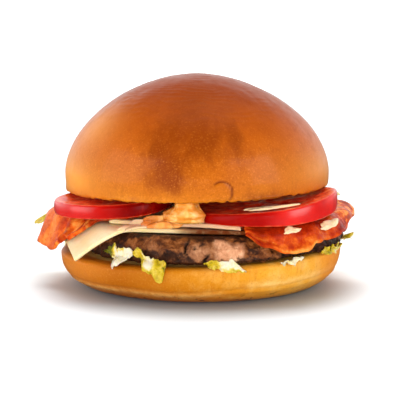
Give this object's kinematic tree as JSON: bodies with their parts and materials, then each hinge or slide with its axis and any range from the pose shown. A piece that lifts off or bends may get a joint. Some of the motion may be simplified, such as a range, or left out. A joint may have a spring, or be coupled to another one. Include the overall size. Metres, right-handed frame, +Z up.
{
  "type": "hamburger",
  "caption": "hamburger: domed glossy bun over tomato slices, creamy sauce, bacon rashers, melted cheese, a grilled beef patty and shredded lettuce on the bottom bun",
  "frame": {"origin": "centre of the bottom bun's flat underside", "axes": "+Z up, -Y towards the shown side, +X to the shown side's right"},
  "size_m": [0.1357, 0.1192, 0.087],
  "materials": {
    "bun_crust": "satin baked crust",
    "beef": "coarse grilled",
    "cheese": "smooth, waxy",
    "bacon": "greasy, marbled",
    "tomato": "wet, glossy skin",
    "lettuce": "crisp, slightly glossy",
    "sauce": "thick, glossy"
  },
  "bodies": {
    "root": {"bun_crown": "bun_crust", "bun_heel": "bun_crust", "patty": "beef", "cheese_lower": "cheese", "cheese_upper": "cheese", "bacon_left": "bacon", "bacon_right": "bacon", "bacon_back": "bacon", "tomato_left": "tomato", "tomato_right": "tomato", "tomato_back": "tomato", "lettuce_bed": "lettuce", "lettuce_front_left": "lettuce", "lettuce_front_near": "lettuce", "lettuce_front_mid": "lettuce", "lettuce_front_right": "lettuce", "lettuce_right": "lettuce", "lettuce_sprig": "lettuce", "lettuce_back_right": "lettuce", "lettuce_back": "lettuce", "lettuce_back_left": "lettuce", "lettuce_side": "lettuce", "lettuce_high": "lettuce", "sauce_drip": "sauce", "sauce_on_tomato": "sauce", "sauce_on_bacon": "sauce", "sauce_low_on_bacon": "sauce"}
  },
  "joints": []
}
